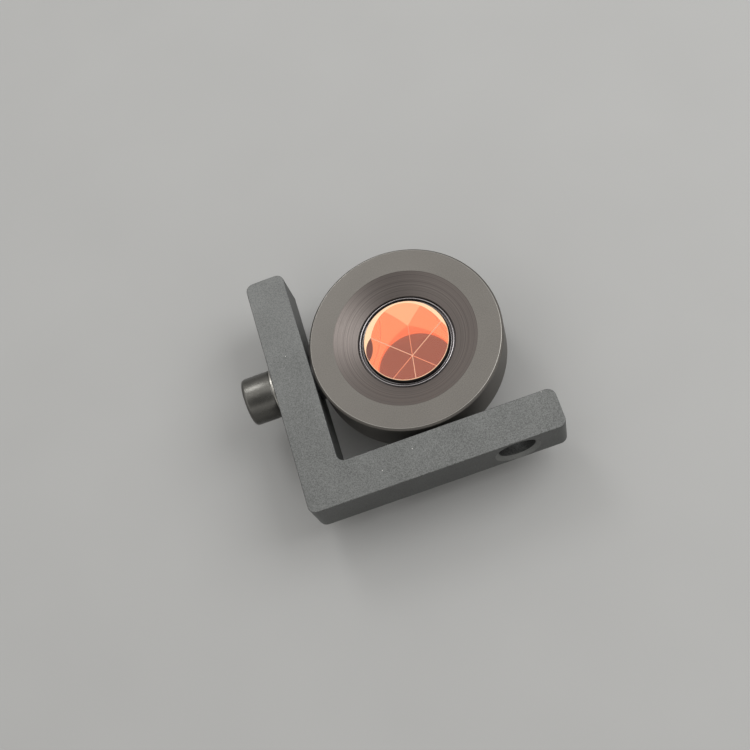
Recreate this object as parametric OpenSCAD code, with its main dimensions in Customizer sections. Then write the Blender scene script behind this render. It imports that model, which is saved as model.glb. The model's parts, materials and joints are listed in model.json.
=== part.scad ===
// Survey prism: a glass corner cube reflector held in a turned housing. The
// housing tilts on one clamp screw, which carries it in an L-shaped bracket bar.
//
// All sizes are in millimetres. The part lies on the rear face of its housing
// with the optical axis along +Z. The origin is the middle of the footprint, at
// the height of the rear face. One arm of the bracket runs along +X and has the
// mounting hole; the other runs along +Y and carries the clamp screw.

/* [Bracket] */
// Length of each arm, measured on the outside
arm_length = 68; // [66:1:90]
// Thickness of the bar across the arm
bar_thickness = 10.8; // [10:0.1:14]
// Depth of the bar along the optical axis
bar_depth = 13; // [13:0.5:16]
// Radius of the bar's rounded corners
bar_corner_r = 2.2; // [1:0.1:3]
// Diameter of the mounting hole
mount_hole_d = 9.8; // [6:0.1:10]
// Diameter of the mounting hole's countersunk mouth
mount_mouth_d = 12.2; // [10.6:0.1:12.8]
// Full angle of the mouth's cone
mount_mouth_angle = 110; // [80:5:120]
// Distance from the mounting hole to the end of its arm
mount_hole_inset = 13.4; // [9:0.2:20]
// Diameter of the clearance hole for the clamp screw
screw_clearance_d = 8.8; // [8.6:0.1:9.4]

/* [Housing] */
// Outer diameter of the housing
housing_d = 51.6; // [49:0.1:52]
// Height of the housing's cylindrical band
band_height = 13.2; // [12.8:0.1:13.6]
// Bevel round the band's front edge
band_bevel = 0.55; // [0.45:0.05:0.6]
// Distance from the tilt axis back to the rear face
rear_reach = 17.4; // [17.4:0.1:18]
// Diameter of the rear face
rear_d = 37; // [34:0.5:38]
// Diameter of the conical recess at the front face
recess_d = 38.3; // [32:0.1:42]
// Diameter of the conical recess at its floor
recess_floor_d = 26.3; // [26.3:0.1:28]
// Depth of the conical recess
recess_depth = 3; // [2.6:0.1:3.2]
// Free gap between the housing's swing and the bracket
swing_gap = 0.12; // [0.12:0.02:0.6]
// Depth of the flat that the friction washer bears on
spot_face_depth = 0.75; // [0.75:0.05:1]

/* [Prism] */
// Diameter of the corner cube
glass_d = 22.6; // [21.6:0.1:22.6]
// Height of the corner cube from its tip to its front face
glass_height = 17.6; // [16.6:0.1:17.8]
// Bevel round the front face of the glass
glass_bevel = 0.4; // [0.1:0.1:0.6]
// Distance from the housing's front face back to the glass
glass_depth = 2.3; // [2.2:0.1:2.5]
// Direction of the first facet edge, in degrees from +X
facet_turn = 23; // [0:1:119]
// Thickness of the metal coating on the facets
coating_thickness = 0.12; // [0.08:0.02:0.2]

/* [Clamp screw] */
// Nominal diameter of the screw
screw_d = 8; // [7:0.5:8]
// Length of the screw under its head
screw_length = 20; // [19:0.5:21]
// Diameter of the screw head
head_d = 13; // [12:0.1:13]
// Height of the screw head
head_height = 8; // [7:0.1:9]
// Width of the hexagon socket across its flats
socket_width = 6; // [5:0.5:6]
// Thickness of the lock washer under the head
lock_washer_t = 0.6; // [0.5:0.1:1]

/* [Rear cover] */
// Thickness of the threaded rear cover
cover_thickness = 1.9; // [1.6:0.1:2]
// Diameter of the rear cover
cover_d = 30; // [29:0.5:31]
// Free height of the wave spring
spring_height = 0.9; // [0.8:0.1:1]

/* [Hidden] */
$fn = 96;
over = 1;                       // how far a cutter runs past the face it cuts

// Clearances between pieces
thread_gap = 0.06;              // screw thread in its tapped hole, on the radius
fit_gap = 0.08;                 // threaded ring and cover in the housing, on the radius
seat_gap = 0.05;                // moulded seat around the coated facets
glass_gap = 0.15;               // glass inside the seat and the ring, on the radius
seal_gap = 0.03;                // flat gasket around the glass, on the radius

// Radii
housing_r = housing_d / 2;
glass_r = glass_d / 2;
bore_r = 13;                    // main bore of the housing
ring_r = bore_r - fit_gap;
skirt_r = glass_r + glass_gap;  // inside of the retaining ring
cover_r = cover_d / 2;

// Heights above the rear face
axis_z = rear_reach;
bar_z = axis_z - bar_depth / 2;
seal_thickness = 0.3;
front_z = axis_z + band_height / 2;
recess_floor_z = front_z - recess_depth;
ring_height = 2.2;
ring_top_z = recess_floor_z - 0.15;
glass_z = front_z - glass_depth;
// A corner cube's facets lean so that each reaches radius r at a height of
// r * sqrt(2) above the apex, and its edges at r / sqrt(2).
facet_reach = glass_r * sqrt(2);
apex_z = glass_z - glass_height;
ring_bottom_z = ring_top_z - ring_height;
cover_z = 0.3;
cover_top_z = cover_z + cover_thickness;
seat_z = cover_top_z + spring_height;
seat_top_z = ring_bottom_z - seal_thickness;
seal_section = 1.2;
shoulder_z = cover_top_z + seal_section;

// Places in plan, measured from the outer corner of the bracket. The corner of
// the housing's band swings round the tilt axis, and clears the mounting arm.
swing_r = norm([housing_r, band_height / 2 - band_bevel]);
side_gap = 0.4;                 // between the arm and the housing's band
housing_x = bar_thickness + side_gap + housing_r;
housing_y = bar_thickness + swing_gap + swing_r;
mount_hole_x = arm_length - mount_hole_inset;
spot_face_x = housing_x - housing_r + spot_face_depth;
tapped_depth = 9.25;
mid_x = (arm_length - lock_washer_t - head_height) / 2;
mid_y = arm_length / 2;

// Moves a shape from the bracket's corner to the part's origin
module placed() {
    translate([-mid_x, -mid_y, 0]) children();
}

// Stands a shape drawn round the Z axis on the optical axis
module on_optical_axis() {
    placed() translate([housing_x, housing_y, 0]) children();
}

// Turns a shape drawn round the Z axis onto the tilt axis, with +Z along +X
module on_tilt_axis(x = 0) {
    placed() translate([x, housing_y, axis_z]) rotate([0, 90, 0]) children();
}

// Solid of revolution from a half profile of [radius, height] points
module turned(profile) {
    rotate_extrude() polygon(profile);
}

// Rectangle with four rounded corners, from the origin
module rounded_rect(size, r) {
    translate([r, 0]) square([size.x - 2 * r, size.y]);
    translate([0, r]) square([size.x, size.y - 2 * r]);
    for (x = [r, size.x - r], y = [r, size.y - r]) translate([x, y]) circle(r);
}

// The corner between three square planes, opening upwards from its tip
module corner(tip_z) {
    lean = atan(sqrt(2));
    translate([0, 0, tip_z])
        rotate([0, 0, facet_turn - 60]) rotate([0, -lean, 0]) rotate([0, 0, -45])
            cube(4 * glass_r);
}

// The corner with its planes moved out by a given thickness
module grown_corner(thickness) {
    corner(apex_z - thickness * sqrt(3));
}

// L-shaped aluminium bar with the mounting hole and the screw's clearance hole
module l_bracket() {
    mouth_slope = tan(mount_mouth_angle / 2);
    mouth_depth = (mount_mouth_d - mount_hole_d) / 2 / mouth_slope;
    cutter_d = mount_mouth_d + 2 * over * mouth_slope;
    fillet = 2;
    color("dimgray") difference() {
        placed() translate([0, 0, bar_z]) linear_extrude(bar_depth) {
            rounded_rect([arm_length, bar_thickness], bar_corner_r);
            rounded_rect([bar_thickness, arm_length], bar_corner_r);
            translate([bar_thickness, bar_thickness]) difference() {
                square(fillet);
                translate([fillet, fillet]) circle(fillet);
            }
        }
        on_tilt_axis(-over) cylinder(h = bar_thickness + 2 * over, d = screw_clearance_d);
        placed() translate([mount_hole_x, 0, axis_z]) rotate([-90, 0, 0]) {
            translate([0, 0, -over]) cylinder(h = bar_thickness + 2 * over, d = mount_hole_d);
            translate([0, 0, -over])
                cylinder(h = mouth_depth + over, d1 = cutter_d, d2 = mount_hole_d);
        }
    }
}

// Socket head cap screw: head outside the arm, thread in the housing's wall
module clamp_screw() {
    edge_r = 1;
    tip = 0.8;
    head_r = head_d / 2;
    shank_r = screw_d / 2 - thread_gap;
    socket_r = socket_width / 2 / cos(30);
    socket_depth = 4.5;
    color("darkslategray") on_tilt_axis(-lock_washer_t) difference() {
        union() {
            rotate_extrude() {
                translate([0, -head_height]) square([head_r - edge_r, head_height]);
                translate([0, edge_r - head_height]) square([head_r, head_height - edge_r]);
                translate([head_r - edge_r, edge_r - head_height])
                    intersection() { circle(edge_r); translate([0, -edge_r]) square(2 * edge_r); }
            }
            turned([[0, 0], [shank_r, 0], [shank_r, screw_length - tip],
                    [shank_r - tip, screw_length], [0, screw_length]]);
        }
        translate([0, 0, -head_height - over]) {
            cylinder(h = socket_depth + over, r = socket_r, $fn = 6);
            cylinder(h = over + 0.3, r1 = socket_r + over, r2 = socket_r - 0.3);
        }
    }
}

// Thin spring-steel washer under the screw head
module lock_washer() {
    bore_d = screw_d + 0.4;
    color("gray") on_tilt_axis(-lock_washer_t) difference() {
        cylinder(h = lock_washer_t, d = head_d);
        translate([0, 0, -over]) cylinder(h = lock_washer_t + 2 * over, d = bore_d);
    }
}

// Plain washer between the arm and the housing, which the tilt turns on
module friction_washer() {
    thickness = spot_face_x - bar_thickness;
    washer_d = 11.6;
    bore_d = screw_d + 0.4;
    color("black") on_tilt_axis(bar_thickness) difference() {
        cylinder(h = thickness, d = washer_d);
        translate([0, 0, -over]) cylinder(h = thickness + 2 * over, d = bore_d);
    }
}

// Turned housing: a band with a conical recess in front and a taper behind
module prism_housing() {
    band_bottom_z = axis_z - band_height / 2 + band_bevel;
    rear_r = rear_d / 2;
    rear_bevel = 0.6;
    front_lead = 0.1;
    spot_face_d = 12;
    color("dimgray") difference() {
        on_optical_axis() turned([
            [cover_r, 0],
            [rear_r - rear_bevel, 0],
            [rear_r, rear_bevel],
            [housing_r, band_bottom_z],
            [housing_r, front_z - band_bevel],
            [housing_r - band_bevel, front_z],
            [recess_d / 2, front_z],
            [recess_floor_d / 2, recess_floor_z],
            [bore_r + front_lead, recess_floor_z],
            [bore_r, recess_floor_z - front_lead],
            [bore_r, shoulder_z],
            [cover_r, shoulder_z]
        ]);
        on_tilt_axis(spot_face_x - 2 * spot_face_depth)
            cylinder(h = 2 * spot_face_depth, d = spot_face_d);
        on_tilt_axis(spot_face_x - over) cylinder(h = tapped_depth + over, d = screw_d);
    }
}

// Threaded ring that holds the seat in from the front: two raised beads round its
// face, with a groove between them
module retaining_ring() {
    bevel = 0.3;
    groove_r = 12.15;
    groove_width = 0.2;
    groove_flare = 0.07;
    groove_depth = 0.6;
    inner_step = 0.5;
    color("black") on_optical_axis() turned([
        [skirt_r, ring_bottom_z],
        [ring_r, ring_bottom_z],
        [ring_r, ring_top_z - bevel],
        [ring_r - bevel, ring_top_z],
        [groove_r + groove_width / 2 + groove_flare, ring_top_z],
        [groove_r + groove_width / 2, ring_top_z - groove_depth],
        [groove_r - groove_width / 2, ring_top_z - groove_depth],
        [groove_r - groove_width / 2 - groove_flare, ring_top_z - inner_step],
        [skirt_r + bevel, ring_top_z - inner_step],
        [skirt_r, ring_top_z - inner_step - bevel]
    ]);
}

// Flat gasket round the glass, between the ring and the seat
module front_seal() {
    color("black") on_optical_axis() translate([0, 0, seat_top_z]) difference() {
        cylinder(h = seal_thickness, r = ring_r);
        translate([0, 0, -over]) cylinder(h = seal_thickness + 2 * over, r = glass_r + seal_gap);
    }
}

// Glass corner cube: a bevelled cylinder cut by three square planes
module corner_cube() {
    color("lightsalmon", 0.5) on_optical_axis() intersection() {
        turned([
            [0, apex_z - over], [glass_r, apex_z - over], [glass_r, glass_z - glass_bevel],
            [glass_r - glass_bevel, glass_z], [0, glass_z]
        ]);
        corner(apex_z);
    }
}

// Thin metal coating that covers the three facets
module copper_coating() {
    color("coral") on_optical_axis() difference() {
        intersection() {
            translate([0, 0, apex_z - over]) cylinder(h = facet_reach + over, r = glass_r);
            grown_corner(coating_thickness);
        }
        corner(apex_z);
    }
}

// Moulded cup that carries the coated facets
module prism_seat() {
    color("darkslategray") on_optical_axis() difference() {
        translate([0, 0, seat_z]) cylinder(h = seat_top_z - seat_z, r = bore_r - fit_gap);
        intersection() {
            translate([0, 0, seat_z]) cylinder(h = glass_z - seat_z, r = skirt_r);
            grown_corner(coating_thickness + seat_gap);
        }
    }
}

// Wave spring behind the seat: a flat ring bent into three waves
module wave_spring() {
    waves = 3;
    steps = 24 * waves;
    inner_r = 9.5;
    outer_r = 12.2;
    strip = 0.3;
    swing = (spring_height - strip) / 2;
    mid_z = cover_top_z + spring_height / 2;
    function lift(i) = mid_z + swing * sin(360 * waves * i / steps);
    function rim(i, r, dz) = [r * cos(360 * i / steps), r * sin(360 * i / steps), lift(i) + dz];
    points = [for (i = [0 : steps - 1]) each [
        rim(i, inner_r, -strip / 2), rim(i, outer_r, -strip / 2),
        rim(i, outer_r, strip / 2), rim(i, inner_r, strip / 2)
    ]];
    faces = [for (i = [0 : steps - 1], k = [0 : 3]) each
        let (a = 4 * i, b = 4 * ((i + 1) % steps), n = (k + 1) % 4)
            [[a + k, a + n, b + n], [a + k, b + n, b + k]]];
    color("silver") on_optical_axis() polyhedron(points, faces);
}

// Threaded cover that closes the housing from behind
module rear_cover() {
    hole_d = 2.2;
    hole_depth = 1.1;
    hole_pitch_r = 10;
    bevel = 0.3;
    color("dimgray") on_optical_axis() difference() {
        turned([
            [0, cover_z], [cover_r - fit_gap - bevel, cover_z],
            [cover_r - fit_gap, cover_z + bevel], [cover_r - fit_gap, cover_top_z],
            [0, cover_top_z]
        ]);
        for (side = [0, 180]) rotate([0, 0, side])
            translate([hole_pitch_r, 0, cover_z - over]) cylinder(h = hole_depth + over, d = hole_d);
    }
}

// O-ring between the rear cover and the housing's shoulder
module rear_seal() {
    ring_mid_r = cover_r - fit_gap - seal_section / 2;
    color("black") on_optical_axis()
        translate([0, 0, cover_top_z + seal_section / 2])
            rotate_extrude() translate([ring_mid_r, 0]) circle(d = seal_section);
}

l_bracket();
clamp_screw();
lock_washer();
friction_washer();
prism_housing();
retaining_ring();
front_seal();
corner_cube();
copper_coating();
prism_seat();
wave_spring();
rear_cover();
rear_seal();
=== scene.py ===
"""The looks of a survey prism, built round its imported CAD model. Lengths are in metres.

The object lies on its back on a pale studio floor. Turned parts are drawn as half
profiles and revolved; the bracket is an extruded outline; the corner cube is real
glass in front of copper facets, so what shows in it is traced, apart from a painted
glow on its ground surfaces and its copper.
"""
import json
import math

import bmesh
import bpy
from mathutils import Matrix, Vector


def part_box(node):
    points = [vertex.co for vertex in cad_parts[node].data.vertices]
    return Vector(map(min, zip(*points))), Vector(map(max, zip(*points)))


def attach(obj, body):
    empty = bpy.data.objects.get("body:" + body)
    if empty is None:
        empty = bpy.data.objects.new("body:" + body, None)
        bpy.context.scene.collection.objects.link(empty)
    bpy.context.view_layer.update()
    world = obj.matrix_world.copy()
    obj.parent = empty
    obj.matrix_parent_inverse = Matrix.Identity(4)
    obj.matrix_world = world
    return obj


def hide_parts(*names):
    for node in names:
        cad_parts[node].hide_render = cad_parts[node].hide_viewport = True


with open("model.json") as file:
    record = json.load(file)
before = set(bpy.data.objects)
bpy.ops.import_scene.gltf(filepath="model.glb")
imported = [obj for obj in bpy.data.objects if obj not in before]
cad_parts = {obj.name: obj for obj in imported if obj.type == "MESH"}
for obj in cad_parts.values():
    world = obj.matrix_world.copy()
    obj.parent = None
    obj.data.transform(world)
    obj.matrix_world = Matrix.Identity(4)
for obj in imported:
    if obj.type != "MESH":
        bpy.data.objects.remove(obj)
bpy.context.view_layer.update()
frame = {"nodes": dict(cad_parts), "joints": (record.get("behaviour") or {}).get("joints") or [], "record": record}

MM = 0.001
FINE = 192                                  # segments round a turned part


# ---------------------------------------------------------------- places from the frame

def joint(name):
    """One of the part's joints."""
    return next(j for j in frame["joints"] if j["name"] == name)


def size_of(node):
    """A CAD node's size along x, y and z."""
    low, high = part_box(node)
    return high - low


tilt_at = Vector(joint("tilt")["pos_m"])
bracket_low, bracket_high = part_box("l_bracket")
ring_low, ring_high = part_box("retaining_ring")
glass_low, glass_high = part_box("corner_cube")
cover_low, cover_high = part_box("rear_cover")
screw_low, screw_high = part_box("clamp_screw")
washer_low, washer_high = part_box("lock_washer")
spacer_low, spacer_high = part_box("friction_washer")

optical_axis = Vector(((ring_low.x + ring_high.x) / 2, tilt_at.y, 0))   # its foot, at z = 0
housing_r = size_of("prism_housing").y / 2
front_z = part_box("prism_housing")[1].z      # height of the housing's front face
glass_r = size_of("corner_cube").y / 2
arm = spacer_low.x - bracket_low.x          # thickness of the bracket's bar


# ---------------------------------------------------------------- outlines

def rounded(corners, steps=5):
    """A closed outline from (x, y, radius) corners, with each corner rounded by an arc."""
    points = []
    count = len(corners)
    for i, (x, y, radius) in enumerate(corners):
        here = Vector((x, y))
        if radius <= 0:
            points.append(here)
            continue
        before = (Vector(corners[i - 1][:2]) - here).normalized()
        after = (Vector(corners[(i + 1) % count][:2]) - here).normalized()
        half = before.angle(after) / 2
        centre = here + (before + after).normalized() * (radius / math.sin(half))
        start = here + before * (radius / math.tan(half)) - centre
        end = here + after * (radius / math.tan(half)) - centre
        turn = start.angle_signed(end)
        for k in range(steps + 1):
            angle = -turn * k / steps
            points.append(centre + Matrix.Rotation(angle, 2) @ start)
    return points


# ---------------------------------------------------------------- meshes

def smooth_by_angle(piece, angle=30):
    """Shades a piece smooth, and keeps the edges sharper than angle sharp."""
    piece.data.shade_smooth()
    piece.data.set_sharp_from_angle(angle=math.radians(angle))


def finish_mesh(bm, name, angle=30):
    """An object from a bmesh, shaded smooth by angle."""
    bmesh.ops.recalc_face_normals(bm, faces=bm.faces)
    mesh = bpy.data.meshes.new(name)
    bm.to_mesh(mesh)
    bm.free()
    piece = bpy.data.objects.new(name, mesh)
    bpy.context.scene.collection.objects.link(piece)
    smooth_by_angle(piece, angle)
    return piece


def lathe(rows, segments=FINE, closed=False, at=Matrix.Identity(4)):
    """A bmesh whose rows go round the Z axis, placed by a matrix. A row is (radius, height),
    where the radius may be a function of the angle. Rows of radius 0 close to a point;
    closed joins the last row to the first."""
    bm = bmesh.new()
    rings = []
    for radius, height in rows:
        if radius == 0:
            rings.append([bm.verts.new(at @ Vector((0, 0, height)))] * segments)
            continue
        ring = []
        for k in range(segments):
            angle = 2 * math.pi * k / segments
            r = radius(angle) if callable(radius) else radius
            point = Vector((r * math.cos(angle), r * math.sin(angle), height))
            ring.append(bm.verts.new(at @ point))
        rings.append(ring)
    pairs = list(zip(rings, rings[1:])) + ([(rings[-1], rings[0])] if closed else [])
    for low, high in pairs:
        for k in range(segments):
            n = (k + 1) % segments
            corners = []
            for v in (low[k], low[n], high[n], high[k]):
                if v not in corners:
                    corners.append(v)
            bm.faces.new(corners)
    return bm


def extruded(name, outline, low, high):
    """A flat outline drawn up from one height to another."""
    bm = bmesh.new()
    bottom = [bm.verts.new((p.x, p.y, low)) for p in outline]
    top = [bm.verts.new((p.x, p.y, high)) for p in outline]
    bm.faces.new(bottom)
    bm.faces.new(top)
    for k in range(len(outline)):
        n = (k + 1) % len(outline)
        bm.faces.new((bottom[k], bottom[n], top[n], top[k]))
    return finish_mesh(bm, name)


def turned(name, corners, steps=4, segments=FINE, at=Matrix.Translation(optical_axis)):
    """A ring round an axis, the optical one unless at moves it, from a closed outline of
    (radius, height, rounding)."""
    outline = [(p.x, p.y) for p in rounded(corners, steps)]
    return finish_mesh(lathe(outline, segments, closed=True, at=at), name)


def apply_modifiers(piece):
    """Replaces a piece's mesh by what its modifiers make of it."""
    bpy.context.view_layer.update()
    depsgraph = bpy.context.evaluated_depsgraph_get()
    mesh = bpy.data.meshes.new_from_object(piece.evaluated_get(depsgraph))
    piece.modifiers.clear()
    piece.data = mesh


def cut(piece, *cutters):
    """Cuts closed meshes out of a piece, and removes them."""
    for cutter in cutters:
        boolean = piece.modifiers.new("cut", "BOOLEAN")
        boolean.operation = "DIFFERENCE"
        boolean.solver = "EXACT"
        boolean.object = cutter
    apply_modifiers(piece)
    for cutter in cutters:
        bpy.data.objects.remove(cutter)


def round_edge(outer, low, radius, steps):
    """Rows round the low outer edge of a turned part, from its end face to its wall."""
    rows = []
    for k in range(steps + 1):
        angle = math.pi / 2 * k / steps
        rows.append((outer - radius + radius * math.sin(angle),
                     low + radius - radius * math.cos(angle)))
    return rows


def peg(at, profile, segments=96):
    """A closed turned cutter: profile is (radius, height) rows, with its ends closed."""
    rows = [(0, profile[0][1]), *profile, (0, profile[-1][1])]
    return finish_mesh(lathe(rows, segments, at=at), "cutter")


def break_edges(piece, width):
    """Rounds the piece's sharp edges."""
    bevel = piece.modifiers.new("edge break", "BEVEL")
    bevel.width = width
    bevel.segments = 4
    bevel.limit_method = "ANGLE"
    bevel.angle_limit = math.radians(35)
    apply_modifiers(piece)


def flatten_normals(piece):
    """Lets the large flat faces keep their own normals where they meet a small rounding."""
    smooth_by_angle(piece)
    weighted = piece.modifiers.new("flat faces", "WEIGHTED_NORMAL")
    weighted.keep_sharp = True
    apply_modifiers(piece)


def along(axis, at):
    """A placing matrix that turns +Z onto an axis."""
    turn = Vector((0, 0, 1)).rotation_difference(Vector(axis))
    return Matrix.Translation(at) @ turn.to_matrix().to_4x4()


def on_tilt_axis(x):
    """A placing matrix that turns +Z onto +X, along the tilt axis and the screw."""
    return along((1, 0, 0), (x, tilt_at.y, tilt_at.z))


# ---------------------------------------------------------------- materials

def add_node(tree, kind, inputs=None, **settings):
    """Adds a node, and links or sets each of its inputs."""
    node = tree.nodes.new(kind)
    for key, value in settings.items():
        setattr(node, key, value)
    for socket, value in (inputs or {}).items():
        if isinstance(value, bpy.types.NodeSocket):
            tree.links.new(value, node.inputs[socket])
        else:
            node.inputs[socket].default_value = value
    return node


class Shader:
    """A material whose nodes are added one call at a time. Its values set the sockets of
    the surface, with _ for each space in a socket's name."""

    def __init__(self, name, **surface):
        self.material = bpy.data.materials.new(name)
        self.material.use_nodes = True
        self.tree = self.material.node_tree
        self.surface = self.tree.nodes["Principled BSDF"]
        for socket, value in surface.items():
            self.surface.inputs[socket.replace("_", " ")].default_value = value

    def add(self, kind, inputs=None, **settings):
        return add_node(self.tree, kind, inputs, **settings)

    def link(self, output, socket):
        """Lets an output drive one of the surface's sockets."""
        self.tree.links.new(output, self.surface.inputs[socket])

    def place(self):
        """The point in the piece's own coordinates."""
        return self.add("ShaderNodeTexCoord").outputs["Object"]

    def noise(self, size, detail, rough, vector=None):
        """Noise between 0 and 1 with features of a given size."""
        return self.add("ShaderNodeTexNoise", {
            "Scale": 1 / size, "Detail": detail, "Roughness": rough,
            "Vector": vector or self.place()}).outputs["Fac"]

    def ramp(self, value, low, high, out_low=0.0, out_high=1.0):
        """The value carried from one range to another."""
        return map_range(self.tree, value, low, high, out_low, out_high)

    def math(self, operation, a, b):
        """The result of an operation on two values."""
        return self.add("ShaderNodeMath", {0: a, 1: b}, operation=operation).outputs[0]

    def mix(self, factor, a, b):
        """A colour between a and b."""
        node = self.add("ShaderNodeMix", {"Factor": factor, "A": a, "B": b}, data_type="RGBA")
        return node.outputs["Result"]

    def vary(self, grain, base, least):
        """The base colour, darkened down to a least factor where the grain is low."""
        return self.mix(grain, shade(base, least), base)

    def bump(self, height, depth, strength, after=None):
        """A normal from a height, on top of another normal if one is given."""
        inputs = {"Height": height, "Distance": depth, "Strength": strength}
        if after:
            inputs["Normal"] = after
        return self.add("ShaderNodeBump", inputs).outputs["Normal"]

    def radius(self, centre):
        """Distance from a vertical axis through centre."""
        def vector_math(operation, output, *vectors):
            inputs = dict(enumerate(vectors))
            return self.add("ShaderNodeVectorMath", inputs, operation=operation).outputs[output]

        offset = vector_math("SUBTRACT", "Vector", self.place(), centre)
        level = vector_math("MULTIPLY", "Vector", offset, (1, 1, 0))
        return vector_math("LENGTH", "Value", level)


def map_range(tree, value, low, high, out_low, out_high):
    """Adds a node that carries a value from one range to another."""
    return add_node(tree, "ShaderNodeMapRange", {
        "Value": value, "From Min": low, "From Max": high,
        "To Min": out_low, "To Max": out_high}).outputs["Result"]


def colour(r, g, b):
    """An opaque linear colour from 0 to 255 display values."""
    gamma = 2.2
    return tuple((c / 255) ** gamma for c in (r, g, b)) + (1.0,)


def shade(base, factor, lift=0.0):
    """A colour scaled by a factor and lifted towards grey."""
    return tuple(min(1.0, c * factor + lift) for c in base[:3]) + (1.0,)


def blasted_anodise(name, base, roughness, strength):
    """Bead-blasted, dark anodised aluminium, with a fine grain and a few specks of dust.
    The strength scales how much the grain varies in tone and height."""
    spread = 0.3 * strength                 # of the tone, either way
    cell = 2.2 * MM                         # the surface is divided into cells this wide
    speck_r, speck_share = 0.045, 0.07      # radius in cells, and share of cells with one
    dust = colour(205, 203, 198)
    look = Shader(name, Metallic=0.85)
    grain = look.noise(0.3 * MM, 3, 0.65)
    cloud = look.noise(9 * MM, 2, 0.5)
    tone = look.math("ADD", look.math("MULTIPLY", grain, 0.88), look.math("MULTIPLY", cloud, 0.12))
    body = look.mix(look.ramp(tone, 0.34, 0.66), shade(base, 1 - spread), shade(base, 1 + spread))
    cells = look.add("ShaderNodeTexVoronoi", {"Vector": look.place(), "Scale": 1 / cell})
    near = look.math("LESS_THAN", cells.outputs["Distance"], speck_r)
    pick = look.add("ShaderNodeSeparateColor", {"Color": cells.outputs["Color"]})
    few = look.math("GREATER_THAN", pick.outputs["Red"], 1 - speck_share)
    look.link(look.mix(look.math("MULTIPLY", near, few), body, dust), "Base Color")
    look.link(look.ramp(grain, 0.3, 0.7, roughness - 0.07, roughness + 0.07), "Roughness")
    look.link(look.bump(grain, 0.016 * MM * strength, 0.8), "Normal")
    return look.material


def turned_anodise(name, base, roughness, ring_size, depth):
    """Anodised aluminium straight from the lathe: concentric tool rings over fine grain."""
    look = Shader(name, Metallic=0.85)
    rings = look.add("ShaderNodeTexNoise", {
        "W": look.math("DIVIDE", look.radius(optical_axis), ring_size),
        "Scale": 1.0, "Detail": 3.0}, noise_dimensions="1D").outputs["Fac"]
    grain = look.noise(0.2 * MM, 2, 0.5)
    look.link(look.mix(look.ramp(rings, 0.3, 0.7), shade(base, 0.8), shade(base, 1.2)), "Base Color")
    look.link(look.ramp(grain, 0.3, 0.7, roughness - 0.06, roughness + 0.06), "Roughness")
    look.link(look.bump(rings, depth, 0.8, look.bump(grain, 0.004 * MM, 0.6)), "Normal")
    return look.material


def burnished_steel(name, base, roughness):
    """Black-oxide steel rubbed smooth, with faint brighter patches and fine scratches."""
    look = Shader(name, Metallic=1.0)
    patch = look.noise(1.6 * MM, 4, 0.6)
    stretched = look.add("ShaderNodeMapping", {
        "Vector": look.place(), "Scale": (1, 5, 5)}).outputs["Vector"]
    scratch = look.noise(0.5 * MM, 3, 0.6, stretched)
    worn = look.math("MULTIPLY", look.ramp(patch, 0.5, 0.75), look.ramp(scratch, 0.45, 0.7))
    look.link(look.mix(worn, base, shade(base, 1.9)), "Base Color")
    look.link(look.ramp(scratch, 0.3, 0.7, roughness - 0.04, roughness + 0.05), "Roughness")
    look.link(look.bump(scratch, 0.002 * MM, 0.5), "Normal")
    return look.material


def moulded(name, base, roughness):
    """Black plastic, rubber or lacquer with a faint grain."""
    look = Shader(name, Roughness=roughness)
    grain = look.noise(0.25 * MM, 2, 0.5)
    look.link(look.mix(grain, base, shade(base, 1.5, 0.004)), "Base Color")
    look.link(look.bump(grain, 0.01 * MM, 0.4), "Normal")
    return look.material


def copper_mirror(name, base, haze):
    """Copper as it looks through glass: a mirror with a painted glow, a faint warm emission that stands in for
    scattered light.
    """
    look = Shader(name, Metallic=1.0, Roughness=0.0, Emission_Color=haze, Emission_Strength=1.0)
    cloud = look.noise(3 * MM, 2, 0.5)
    look.link(look.vary(cloud, base, 0.97), "Base Color")
    return look.material


def optical_glass():
    """Polished glass with an anti-reflection coating on its front face."""
    return Shader("optical_glass", Base_Color=(1.0, 0.99, 0.975, 1.0), Roughness=0.0, IOR=1.517,
                  Transmission_Weight=1.0, Specular_IOR_Level=0.35).material


def ground_glass_painted_glow(name, base, glow):
    """A ground glass surface with a painted glow: an emission in its own tint that stands in for the light it
    would scatter inside the prism.
    """
    look = Shader(name, Roughness=0.8, Emission_Strength=glow)
    grain = look.noise(0.3 * MM, 2, 0.5)
    look.link(look.vary(grain, shade(base, 0.3), 0.93), "Base Color")
    # painted glow: the emission colour, in the glass's own tint
    look.link(look.vary(grain, base, 0.93), "Emission Color")
    return look.material


def floor_material():
    """Plain pale card with faint clouds."""
    look = Shader("studio_floor", Roughness=0.85)
    cloud = look.noise(40 * MM, 2, 0.5)
    look.link(look.mix(cloud, colour(150, 150, 149), colour(155, 155, 154)), "Base Color")
    return look.material


BRACKET = blasted_anodise("bracket_anodise", colour(96, 97, 96), 0.5, 1.35)
# lighter anodise for the mount hole's cone: partly a lighter chamfer finish, partly painted light for the sky that
# the cone catches
MOUTH_PAINTED_LIGHT = blasted_anodise("mouth_anodise_painted_light", colour(118, 119, 117), 0.45, 0.6)
HOUSING = blasted_anodise("housing_anodise", colour(101, 98, 94), 0.5, 0.6)
RECESS = turned_anodise("recess_anodise", colour(100, 94, 91), 0.46, 0.3 * MM, 0.012 * MM)
# the housing's front edge painted lighter: partly wear to bare metal, partly a painted highlight where the edge
# catches light
WORN_EDGE_AND_HIGHLIGHT = turned_anodise("edge_wear_and_painted_highlight", colour(150, 147, 142), 0.35, 0.1 * MM, 0.001 * MM)
RING = turned_anodise("ring_anodise", colour(82, 78, 78), 0.3, 0.1 * MM, 0.0005 * MM)
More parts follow.
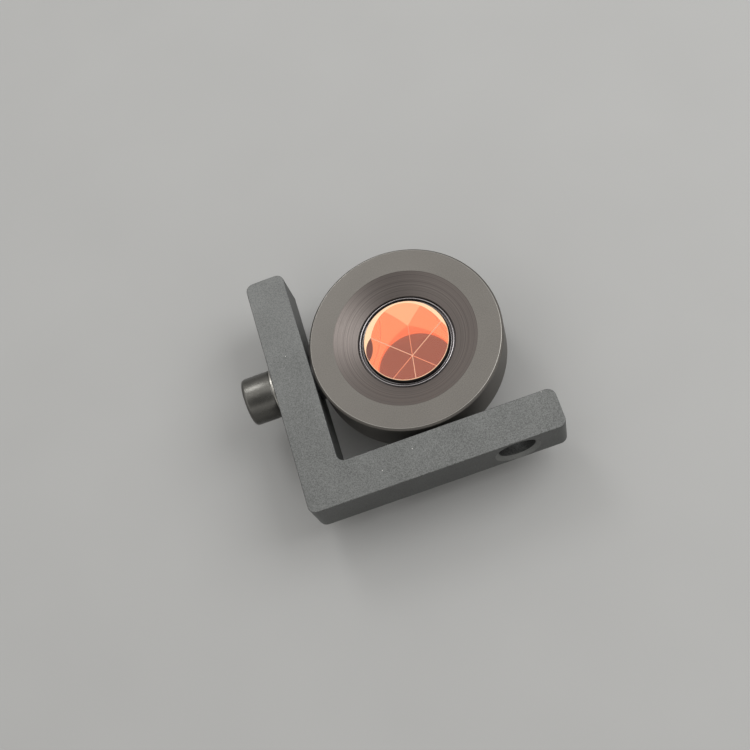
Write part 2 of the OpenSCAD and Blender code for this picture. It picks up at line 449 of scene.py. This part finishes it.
# painted highlight: a lighter, glossier copy of the ring's anodise for the bead crests, standing in for the light
# they catch
BEAD_HIGHLIGHT = turned_anodise("ring_bead_painted_highlight", colour(140, 136, 137), 0.2, 0.1 * MM, 0.0005 * MM)
COVER = turned_anodise("cover_anodise", colour(104, 103, 101), 0.4, 0.25 * MM, 0.006 * MM)
SCREW = burnished_steel("screw_steel", colour(92, 91, 88), 0.3)
WASHER = burnished_steel("washer_steel", colour(150, 148, 143), 0.34)
SPRING = burnished_steel("spring_steel", colour(150, 149, 146), 0.3)
SPACER = moulded("washer_polymer", (0.018, 0.018, 0.018, 1.0), 0.5)
SEAT = moulded("seat_moulding", (0.016, 0.016, 0.018, 1.0), 0.6)
LACQUER = moulded("edge_lacquer", (0.018, 0.015, 0.014, 1.0), 0.4)
RUBBER = moulded("seal_rubber", (0.012, 0.012, 0.012, 1.0), 0.75)
# copper facets with a painted glow: a faint warm emission in place of scattered light
COPPER = copper_mirror("copper_coat", (0.96, 0.575, 0.45, 1.0), (0.05, 0.02, 0.013, 1.0))
GLASS = optical_glass()
# ground glass with a painted glow: emission on the side wall, the front bevel and the facet edge flats, in place
# of the light they scatter and reflect
GROUND = ground_glass_painted_glow("ground_glass_painted_glow", (1.0, 0.74, 0.455, 1.0), 0.88)
BEVEL = ground_glass_painted_glow("glass_bevel", (1.0, 0.6, 0.38, 1.0), 0.8)
EDGE = ground_glass_painted_glow("facet_edge_painted_glow", (1.0, 0.56, 0.38, 1.0), 0.62)


# ---------------------------------------------------------------- pieces

def place(piece, body, materials, replaced):
    """Gives a piece its materials and body, and hides the CAD node it stands for."""
    for material in materials:
        piece.data.materials.append(material)
    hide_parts(replaced)
    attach(piece, body)


def paint(piece, index, chosen):
    """Gives one of a piece's materials to the faces that a test of centre and normal
    chooses."""
    for face in piece.data.polygons:
        if chosen(face.center, face.normal):
            face.material_index = index


def off_axis(point):
    """Distance of a point from the optical axis."""
    return (point - optical_axis).to_2d().length


def make_bracket():
    """The L-shaped bar, with rounded corners, broken edges and its two holes."""
    corner_r, fillet_r = 2.2 * MM, 2.0 * MM
    low, high = bracket_low, bracket_high
    inner_x, inner_y = low.x + arm, low.y + arm
    outline = rounded([
        (low.x, low.y, corner_r), (high.x, low.y, corner_r), (high.x, inner_y, corner_r),
        (inner_x, inner_y, fillet_r), (inner_x, high.y, corner_r), (low.x, high.y, corner_r)
    ], steps=10)
    piece = extruded("bracket_bar", outline, low.z, high.z)
    break_edges(piece, 0.25 * MM)

    over = 1 * MM                           # how far a cutter sticks out
    lead = 0.3 * MM                         # chamfer where a hole leaves the bar
    hole = frame["record"]["mounts"][0]
    hole_r = hole["dims"]["r_mm"] * MM
    hole_at = Vector((hole["pos_m"][0], low.y, hole["pos_m"][2]))
    mouth_r, mouth_angle = 6.1 * MM, math.radians(110)      # full angle of its cone
    mouth_slope = math.tan(mouth_angle / 2)
    screw_hole_r = 4.4 * MM
    mount_hole = peg(along((0, 1, 0), hole_at), [
        (mouth_r + over * mouth_slope, -over), (hole_r, (mouth_r - hole_r) / mouth_slope),
        (hole_r, arm - lead), (hole_r + lead + over, arm + over)])
    screw_hole = peg(on_tilt_axis(low.x), [
        (screw_hole_r, -over), (screw_hole_r, arm - lead), (screw_hole_r + lead + over, arm + over)])
    cut(piece, mount_hole, screw_hole)
    flatten_normals(piece)
    place(piece, "bracket", [BRACKET, MOUTH_PAINTED_LIGHT], "l_bracket")

    # The mount hole's cone gets the lighter anodise: partly its own finish, partly painted light.
    def on_cone(middle, normal):
        from_hole = math.hypot(middle.x - hole_at.x, middle.z - hole_at.z)
        return from_hole < mouth_r and 0.3 < -normal.y < 0.95

    paint(piece, 1, on_cone)


def make_housing():
    """The turned housing: band, conical recess, rear taper, spot face and tapped hole."""
    bevel = 0.55 * MM
    recess_r, floor_r, recess_depth = 19.15 * MM, 13.15 * MM, 3.0 * MM
    bore_r = 13.0 * MM
    rear_r, rear_bevel = 18.5 * MM, 0.6 * MM
    cover_r = size_of("rear_cover").y / 2 + 0.08 * MM
    half_band = front_z - tilt_at.z         # the band reaches as far behind the tilt axis
    band_low = tilt_at.z - half_band + bevel
    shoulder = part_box("rear_seal")[1].z
    floor_z = front_z - recess_depth
    step = 0.15 * MM                        # small slope from the recess's floor to the bore
    edge_r = 0.16 * MM                      # rounding of the front face's edge, the strip that carries wear and a painted highlight
    piece = turned("housing_body", [
        (cover_r, 0, 0.1 * MM),
        (rear_r - rear_bevel, 0, 0.15 * MM),
        (rear_r, rear_bevel, 0.15 * MM),
        (housing_r, band_low, 0.3 * MM),
        (housing_r, front_z - bevel, 0.12 * MM),
        (housing_r - bevel, front_z, edge_r),
        (recess_r, front_z, 0.12 * MM),
        (floor_r, floor_z, 0.04 * MM),
        (bore_r, floor_z - step, 0.04 * MM),
        (bore_r, shoulder, 0.05 * MM),
        (cover_r, shoulder, 0.05 * MM),
    ], segments=256)
    over = 1 * MM                           # how far a cutter sticks out
    spot_r, tapped_r, tapped_depth = 6 * MM, 4 * MM, 9.25 * MM
    spot = on_tilt_axis(spacer_high.x - over)
    cut(piece, peg(spot, [(spot_r, 0), (spot_r, over)]),
        peg(spot, [(tapped_r, 0), (tapped_r, over + tapped_depth)]))
    flatten_normals(piece)
    place(piece, "housing", [HOUSING, RECESS, WORN_EDGE_AND_HIGHLIGHT], "prism_housing")

    def in_recess(middle, normal):
        between = bore_r < off_axis(middle) < recess_r - 0.02 * MM
        return between and floor_z - 0.1 * MM < middle.z < front_z

    # The front face's rounded edge gets the lighter strip: wear and a painted highlight.
    def on_edge_wear_and_painted_highlight(middle, normal):
        near = abs(off_axis(middle) - (housing_r - bevel)) < edge_r
        return near and front_z - edge_r < middle.z < front_z - 0.001 * MM

    paint(piece, 1, in_recess)
    paint(piece, 2, on_edge_wear_and_painted_highlight)


def make_ring():
    """The black threaded ring that keeps the prism in its seat: two round beads with a
    groove between them."""
    outer = size_of("retaining_ring").y / 2
    inner = glass_r + 0.15 * MM
    bead_r, bead_half, bead_top = 12.5 * MM, 0.2 * MM, ring_high.z
    small_r, small_half, small_top = 11.85 * MM, 0.14 * MM, ring_high.z - 0.5 * MM
    groove_z = ring_high.z - 1.0 * MM

    def bead(radius, half, top):
        """The two top corners of a bead, rounded until they meet."""
        return [(radius + half, top, half), (radius - half, top, half)]

    piece = turned("retaining_ring_piece", [
        (inner, ring_low.z, 0.05 * MM),
        (outer, ring_low.z, 0.1 * MM),
        (outer, bead_top - 0.5 * MM, 0.05 * MM),
        (bead_r + bead_half, bead_top - 0.5 * MM, 0.03 * MM),
        *bead(bead_r, bead_half, bead_top),
        (bead_r - bead_half, groove_z, 0.03 * MM),
        (small_r + small_half, groove_z, 0.03 * MM),
        *bead(small_r, small_half, small_top),
        (small_r - small_half, small_top - 0.3 * MM, 0.03 * MM),
        (inner, small_top - 0.4 * MM, 0.05 * MM),
    ], segments=256, steps=8)
    place(piece, "housing", [RING, BEAD_HIGHLIGHT], "retaining_ring")

    # The bead crests get the lighter copy of the anodise as a painted highlight.
    def on_bead_highlight(middle, normal):
        on_large = abs(off_axis(middle) - bead_r) < bead_half and middle.z > bead_top - bead_half
        on_small = abs(off_axis(middle) - small_r) < small_half and middle.z > small_top - small_half
        return on_large or on_small

    paint(piece, 1, on_bead_highlight)


def make_glass():
    """The corner cube: a glass cylinder cut by three planes at right angles. The facets
    carry the copper, narrow flats stand for the ground facet edges, and the side wall and
    the front bevel are ground; the ground surfaces and the copper carry a painted glow.
    A sleeve of black lacquer covers the wall above the seal."""
    on_facet, on_flat, on_wall, on_bevel = 1, 2, 3, 4       # places in the list of materials
    coating_gap = 0.04 * MM                 # keeps the facets just clear of the coating's shell
    apex = Vector((optical_axis.x, optical_axis.y, glass_low.z + coating_gap))
    top = glass_high.z
    over = 1 * MM                           # how far the cylinder starts below the apex
    first_edge = math.radians(23)           # direction of one facet edge round the axis
    lean = math.atan(1 / math.sqrt(2))      # of a facet from the optical axis
    rim = 0.12 * MM                         # bevel of the front face
    rows = [(0, apex.z - over), (glass_r, apex.z - over), (glass_r, top - rim),
            (glass_r - rim, top), (0, top)]
    bm = lathe(rows, 256, at=Matrix.Translation(optical_axis))

    def slice_off(point, normal, index):
        """Cuts away all beyond a plane, and closes the cut with one of the materials."""
        found = bmesh.ops.bisect_plane(
            bm, geom=bm.verts[:] + bm.edges[:] + bm.faces[:], plane_co=point,
            plane_no=normal, clear_outer=True)
        edges = [e for e in found["geom_cut"] if isinstance(e, bmesh.types.BMEdge)]
        made = bmesh.ops.contextual_create(bm, geom=edges)
        for face in made["faces"]:
            face.material_index = index

    facets = []
    for k in range(3):
        # A facet lies opposite an edge, and its outward normal points down and out.
        angle = first_edge + math.pi + k * 2 * math.pi / 3
        facets.append(Vector((math.cos(angle) * math.cos(lean), math.sin(angle) * math.cos(lean),
                              -math.sin(lean))))
    for normal in facets:
        slice_off(apex, normal, on_facet)
    flat = 0.1 * MM                         # how deep the narrow edge flats are cut
    for k in range(3):
        between = (facets[k] + facets[(k + 1) % 3]).normalized()
        slice_off(apex - between * flat, between, on_flat)
    for face in bm.faces:
        face.normal_update()
        is_end = abs(face.normal.z) > 0.9
        if face.material_index == 0 and not is_end:
            height = face.calc_center_median().z
            face.material_index = on_bevel if height > top - rim else on_wall
    piece = finish_mesh(bm, "corner_cube_glass", angle=10)
    place(piece, "housing", [GLASS, COPPER, EDGE, GROUND, BEVEL], "corner_cube")

    near, far = glass_r + 0.01 * MM, glass_r + 0.06 * MM
    sleeve = turned("edge_lacquer_sleeve", [
        (near, ring_low.z, 0), (far, ring_low.z, 0), (far, top - rim, 0), (near, top - rim, 0)])
    sleeve.data.materials.append(LACQUER)
    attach(sleeve, "housing")


def make_screw():
    """The socket head cap screw, drawn in rows from the socket's floor to the tip. Heights
    run from the head's top, at 0, down the screw."""
    head_r = size_of("clamp_screw").y / 2
    under_head = washer_low.x - screw_low.x
    length = screw_high.x - screw_low.x
    half_flats = 3.0 * MM                   # of the socket's hexagon
    pitch, major, minor = 1.25 * MM, 3.94 * MM, 3.3 * MM
    plain, run_in = 1.2 * MM, 0.6 * MM      # bare neck, and where the thread fades in
    tip = 0.8 * MM                          # chamfer at the screw's end

    def hexagon(scale=1.0):
        """The socket's radius at an angle."""
        def radius(angle):
            return scale * half_flats / math.cos(angle % (math.pi / 3) - math.pi / 6)
        return radius

    def thread(height):
        """The shank's radius at an angle: flat crests and roots with slopes between them."""
        def radius(angle):
            phase = (height / pitch - angle / (2 * math.pi)) % 1.0
            crest = min(1.0, max(0.0, 1.25 - 2.5 * abs(phase - 0.5)))
            grown = minor + (major - minor) * crest
            fade = min(1.0, (height - under_head - plain) / run_in)
            body = major + (grown - major) * max(0.0, fade)
            return min(body, major - tip + (length - height))
        return radius

    socket, drill_tip = 4.5 * MM, 0.9 * MM  # depth to the corner, and of the cone below it
    mouth = half_flats / math.cos(math.pi / 6) + 0.15 * MM
    lead = 0.35 * MM                        # depth of the chamfer at the socket's mouth
    edge_r, foot, fillet = 1.0 * MM, 0.25 * MM, 0.3 * MM    # at the head's top, foot and neck
    rows = [(0, socket + drill_tip), (hexagon(0.55), socket + drill_tip / 2), (hexagon(), socket),
            (hexagon(), lead), (mouth, 0.02 * MM), (mouth + 0.1 * MM, 0.0)]
    rows.append((head_r - edge_r - 0.2 * MM, 0.0))
    rows += round_edge(head_r, 0.0, edge_r, 8)
    rows += [(head_r, under_head - foot), (head_r - 0.07 * MM, under_head - 0.07 * MM),
             (head_r - foot, under_head), (major + fillet, under_head),
             (major, under_head + fillet)]
    rows_per_turn = 14
    start = under_head + 1.0 * MM           # of the thread's rows, still on the bare neck
    count = round((length - start) / pitch * rows_per_turn)
    for k in range(count + 1):
        height = start + (length - start) * k / count
        rows.append((thread(height), height))
    rows.append((0, length))
    piece = finish_mesh(lathe(rows, 96, at=on_tilt_axis(screw_low.x)), "cap_screw", angle=38)
    place(piece, "screw", [SCREW], "clamp_screw")


def make_washer(name, node, low, high, outer, bore, body, material):
    """A flat washer on the tilt axis with lightly rounded edges."""
    thick = high.x - low.x
    soft = min(0.12 * MM, thick / 4)        # rounding of the edges
    piece = turned(name, [
        (bore, 0, soft), (outer, 0, soft), (outer, thick, soft), (bore, thick, soft)
    ], steps=5, segments=128, at=on_tilt_axis(low.x))
    place(piece, body, [material], node)


def make_cover():
    """The rear cover, with two holes for a pin spanner."""
    outer = size_of("rear_cover").y / 2
    low, high = cover_low.z, cover_high.z
    rows = [(0, low), *round_edge(outer, low, 0.3 * MM, 4), (outer, high), (0, high)]
    piece = finish_mesh(lathe(rows, at=Matrix.Translation(optical_axis)), "rear_cover_piece")
    pin_at, pin_r, pin_depth = 10 * MM, 1.1 * MM, 1.1 * MM
    lead, over = 0.2 * MM, 0.1 * MM         # chamfer, and how far the cutter sticks out
    profile = [(pin_r + lead + over, low - over), (pin_r, low + lead), (pin_r, low + pin_depth)]
    holes = [peg(Matrix.Translation(optical_axis + Vector((side * pin_at, 0, 0))), profile, 48)
             for side in (-1, 1)]
    cut(piece, *holes)
    flatten_normals(piece)
    place(piece, "housing", [COVER], "rear_cover")


def dress_inner_parts():
    """Finishes for the inner parts whose CAD shape is right as it is."""
    for node, material in {
        "copper_coating": COPPER, "prism_seat": SEAT, "wave_spring": SPRING,
        "front_seal": RUBBER, "rear_seal": RUBBER,
    }.items():
        mesh = frame["nodes"][node].data
        mesh.materials.clear()
        mesh.materials.append(material)
        for face in mesh.polygons:
            face.material_index = 0


make_bracket()
make_housing()
make_ring()
make_glass()
make_screw()
make_washer("lock_washer_piece", "lock_washer", washer_low, washer_high,
            6.5 * MM, 4.2 * MM, "washer", WASHER)
make_washer("friction_washer_piece", "friction_washer", spacer_low, spacer_high,
            5.8 * MM, 4.2 * MM, "housing", SPACER)
make_cover()
dress_inner_parts()


# ---------------------------------------------------------------- studio

def make_floor():
    """The pale floor that the object lies on."""
    bm = bmesh.new()
    bmesh.ops.create_grid(bm, x_segments=8, y_segments=8, size=1.5)
    floor = finish_mesh(bm, "floor")
    floor.data.materials.append(floor_material())


def make_camera():
    """The photograph's view: a slightly tilted look down, rolled to the left."""
    swing, tilt, roll = (math.radians(a) for a in (8.62, 23.73, -27.54))
    camera = bpy.data.cameras.new("camera")
    from_corner = Vector((43.7, -83.5, 274.1)) * MM         # of the bracket
    camera.sensor_width = 36
    camera.lens = 52.8
    camera.clip_start = 0.01
    holder = bpy.data.objects.new("camera", camera)
    holder.matrix_world = (
        Matrix.Translation(bracket_low + from_corner)
        @ Matrix.Rotation(swing, 4, "Z") @ Matrix.Rotation(tilt, 4, "X")
        @ Matrix.Rotation(roll, 4, "Z"))
    bpy.context.scene.collection.objects.link(holder)
    bpy.context.scene.camera = holder
    return holder


def make_world(camera):
    """A soft grey studio, brighter overhead, with the dark shape of whoever holds the
    camera in the direction that the prism reflects."""
    horizon_level, zenith_level = 0.28, 1.4
    patch_level, patch_edge, patch_core = 0.19, math.radians(30), math.radians(20)
    world = bpy.data.worlds.new("studio")
    bpy.context.scene.world = world
    world.use_nodes = True
    tree = world.node_tree
    background = tree.nodes["Background"]
    direction = add_node(tree, "ShaderNodeTexCoord").outputs["Generated"]
    height = add_node(tree, "ShaderNodeSeparateXYZ", {0: direction}).outputs["Z"]
    sky = map_range(tree, height, -0.1, 0.9, horizon_level, zenith_level)
    front = Vector((optical_axis.x, optical_axis.y, front_z))
    to_camera = (camera.matrix_world.translation - front).normalized()
    toward = add_node(tree, "ShaderNodeVectorMath", {0: direction, 1: to_camera},
                      operation="DOT_PRODUCT").outputs["Value"]
    patch = map_range(tree, toward, math.cos(patch_edge), math.cos(patch_core), 1.0, patch_level)
    level = add_node(tree, "ShaderNodeMath", {0: sky, 1: patch}, operation="MULTIPLY").outputs[0]
    tree.links.new(level, background.inputs["Strength"])
    background.inputs["Color"].default_value = (1.0, 0.99, 0.97, 1.0)


def softbox(name, at, size, power):
    """A square area light that looks at the object."""
    target = Vector((0, 0, 0.01))
    light = bpy.data.lights.new(name, "AREA")
    light.shape = "SQUARE"
    light.size = size
    light.energy = power
    holder = bpy.data.objects.new(name, light)
    holder.location = at
    holder.rotation_euler = (target - Vector(at)).to_track_quat("-Z", "Y").to_euler()
    bpy.context.scene.collection.objects.link(holder)


make_floor()
camera = make_camera()
make_world(camera)
softbox("key", (0.42, 0.03, 0.5), 0.4, 1.9)
softbox("fill", (-0.1, 0.36, 0.46), 0.16, 0.55)
bpy.context.scene.view_settings.view_transform = "Standard"
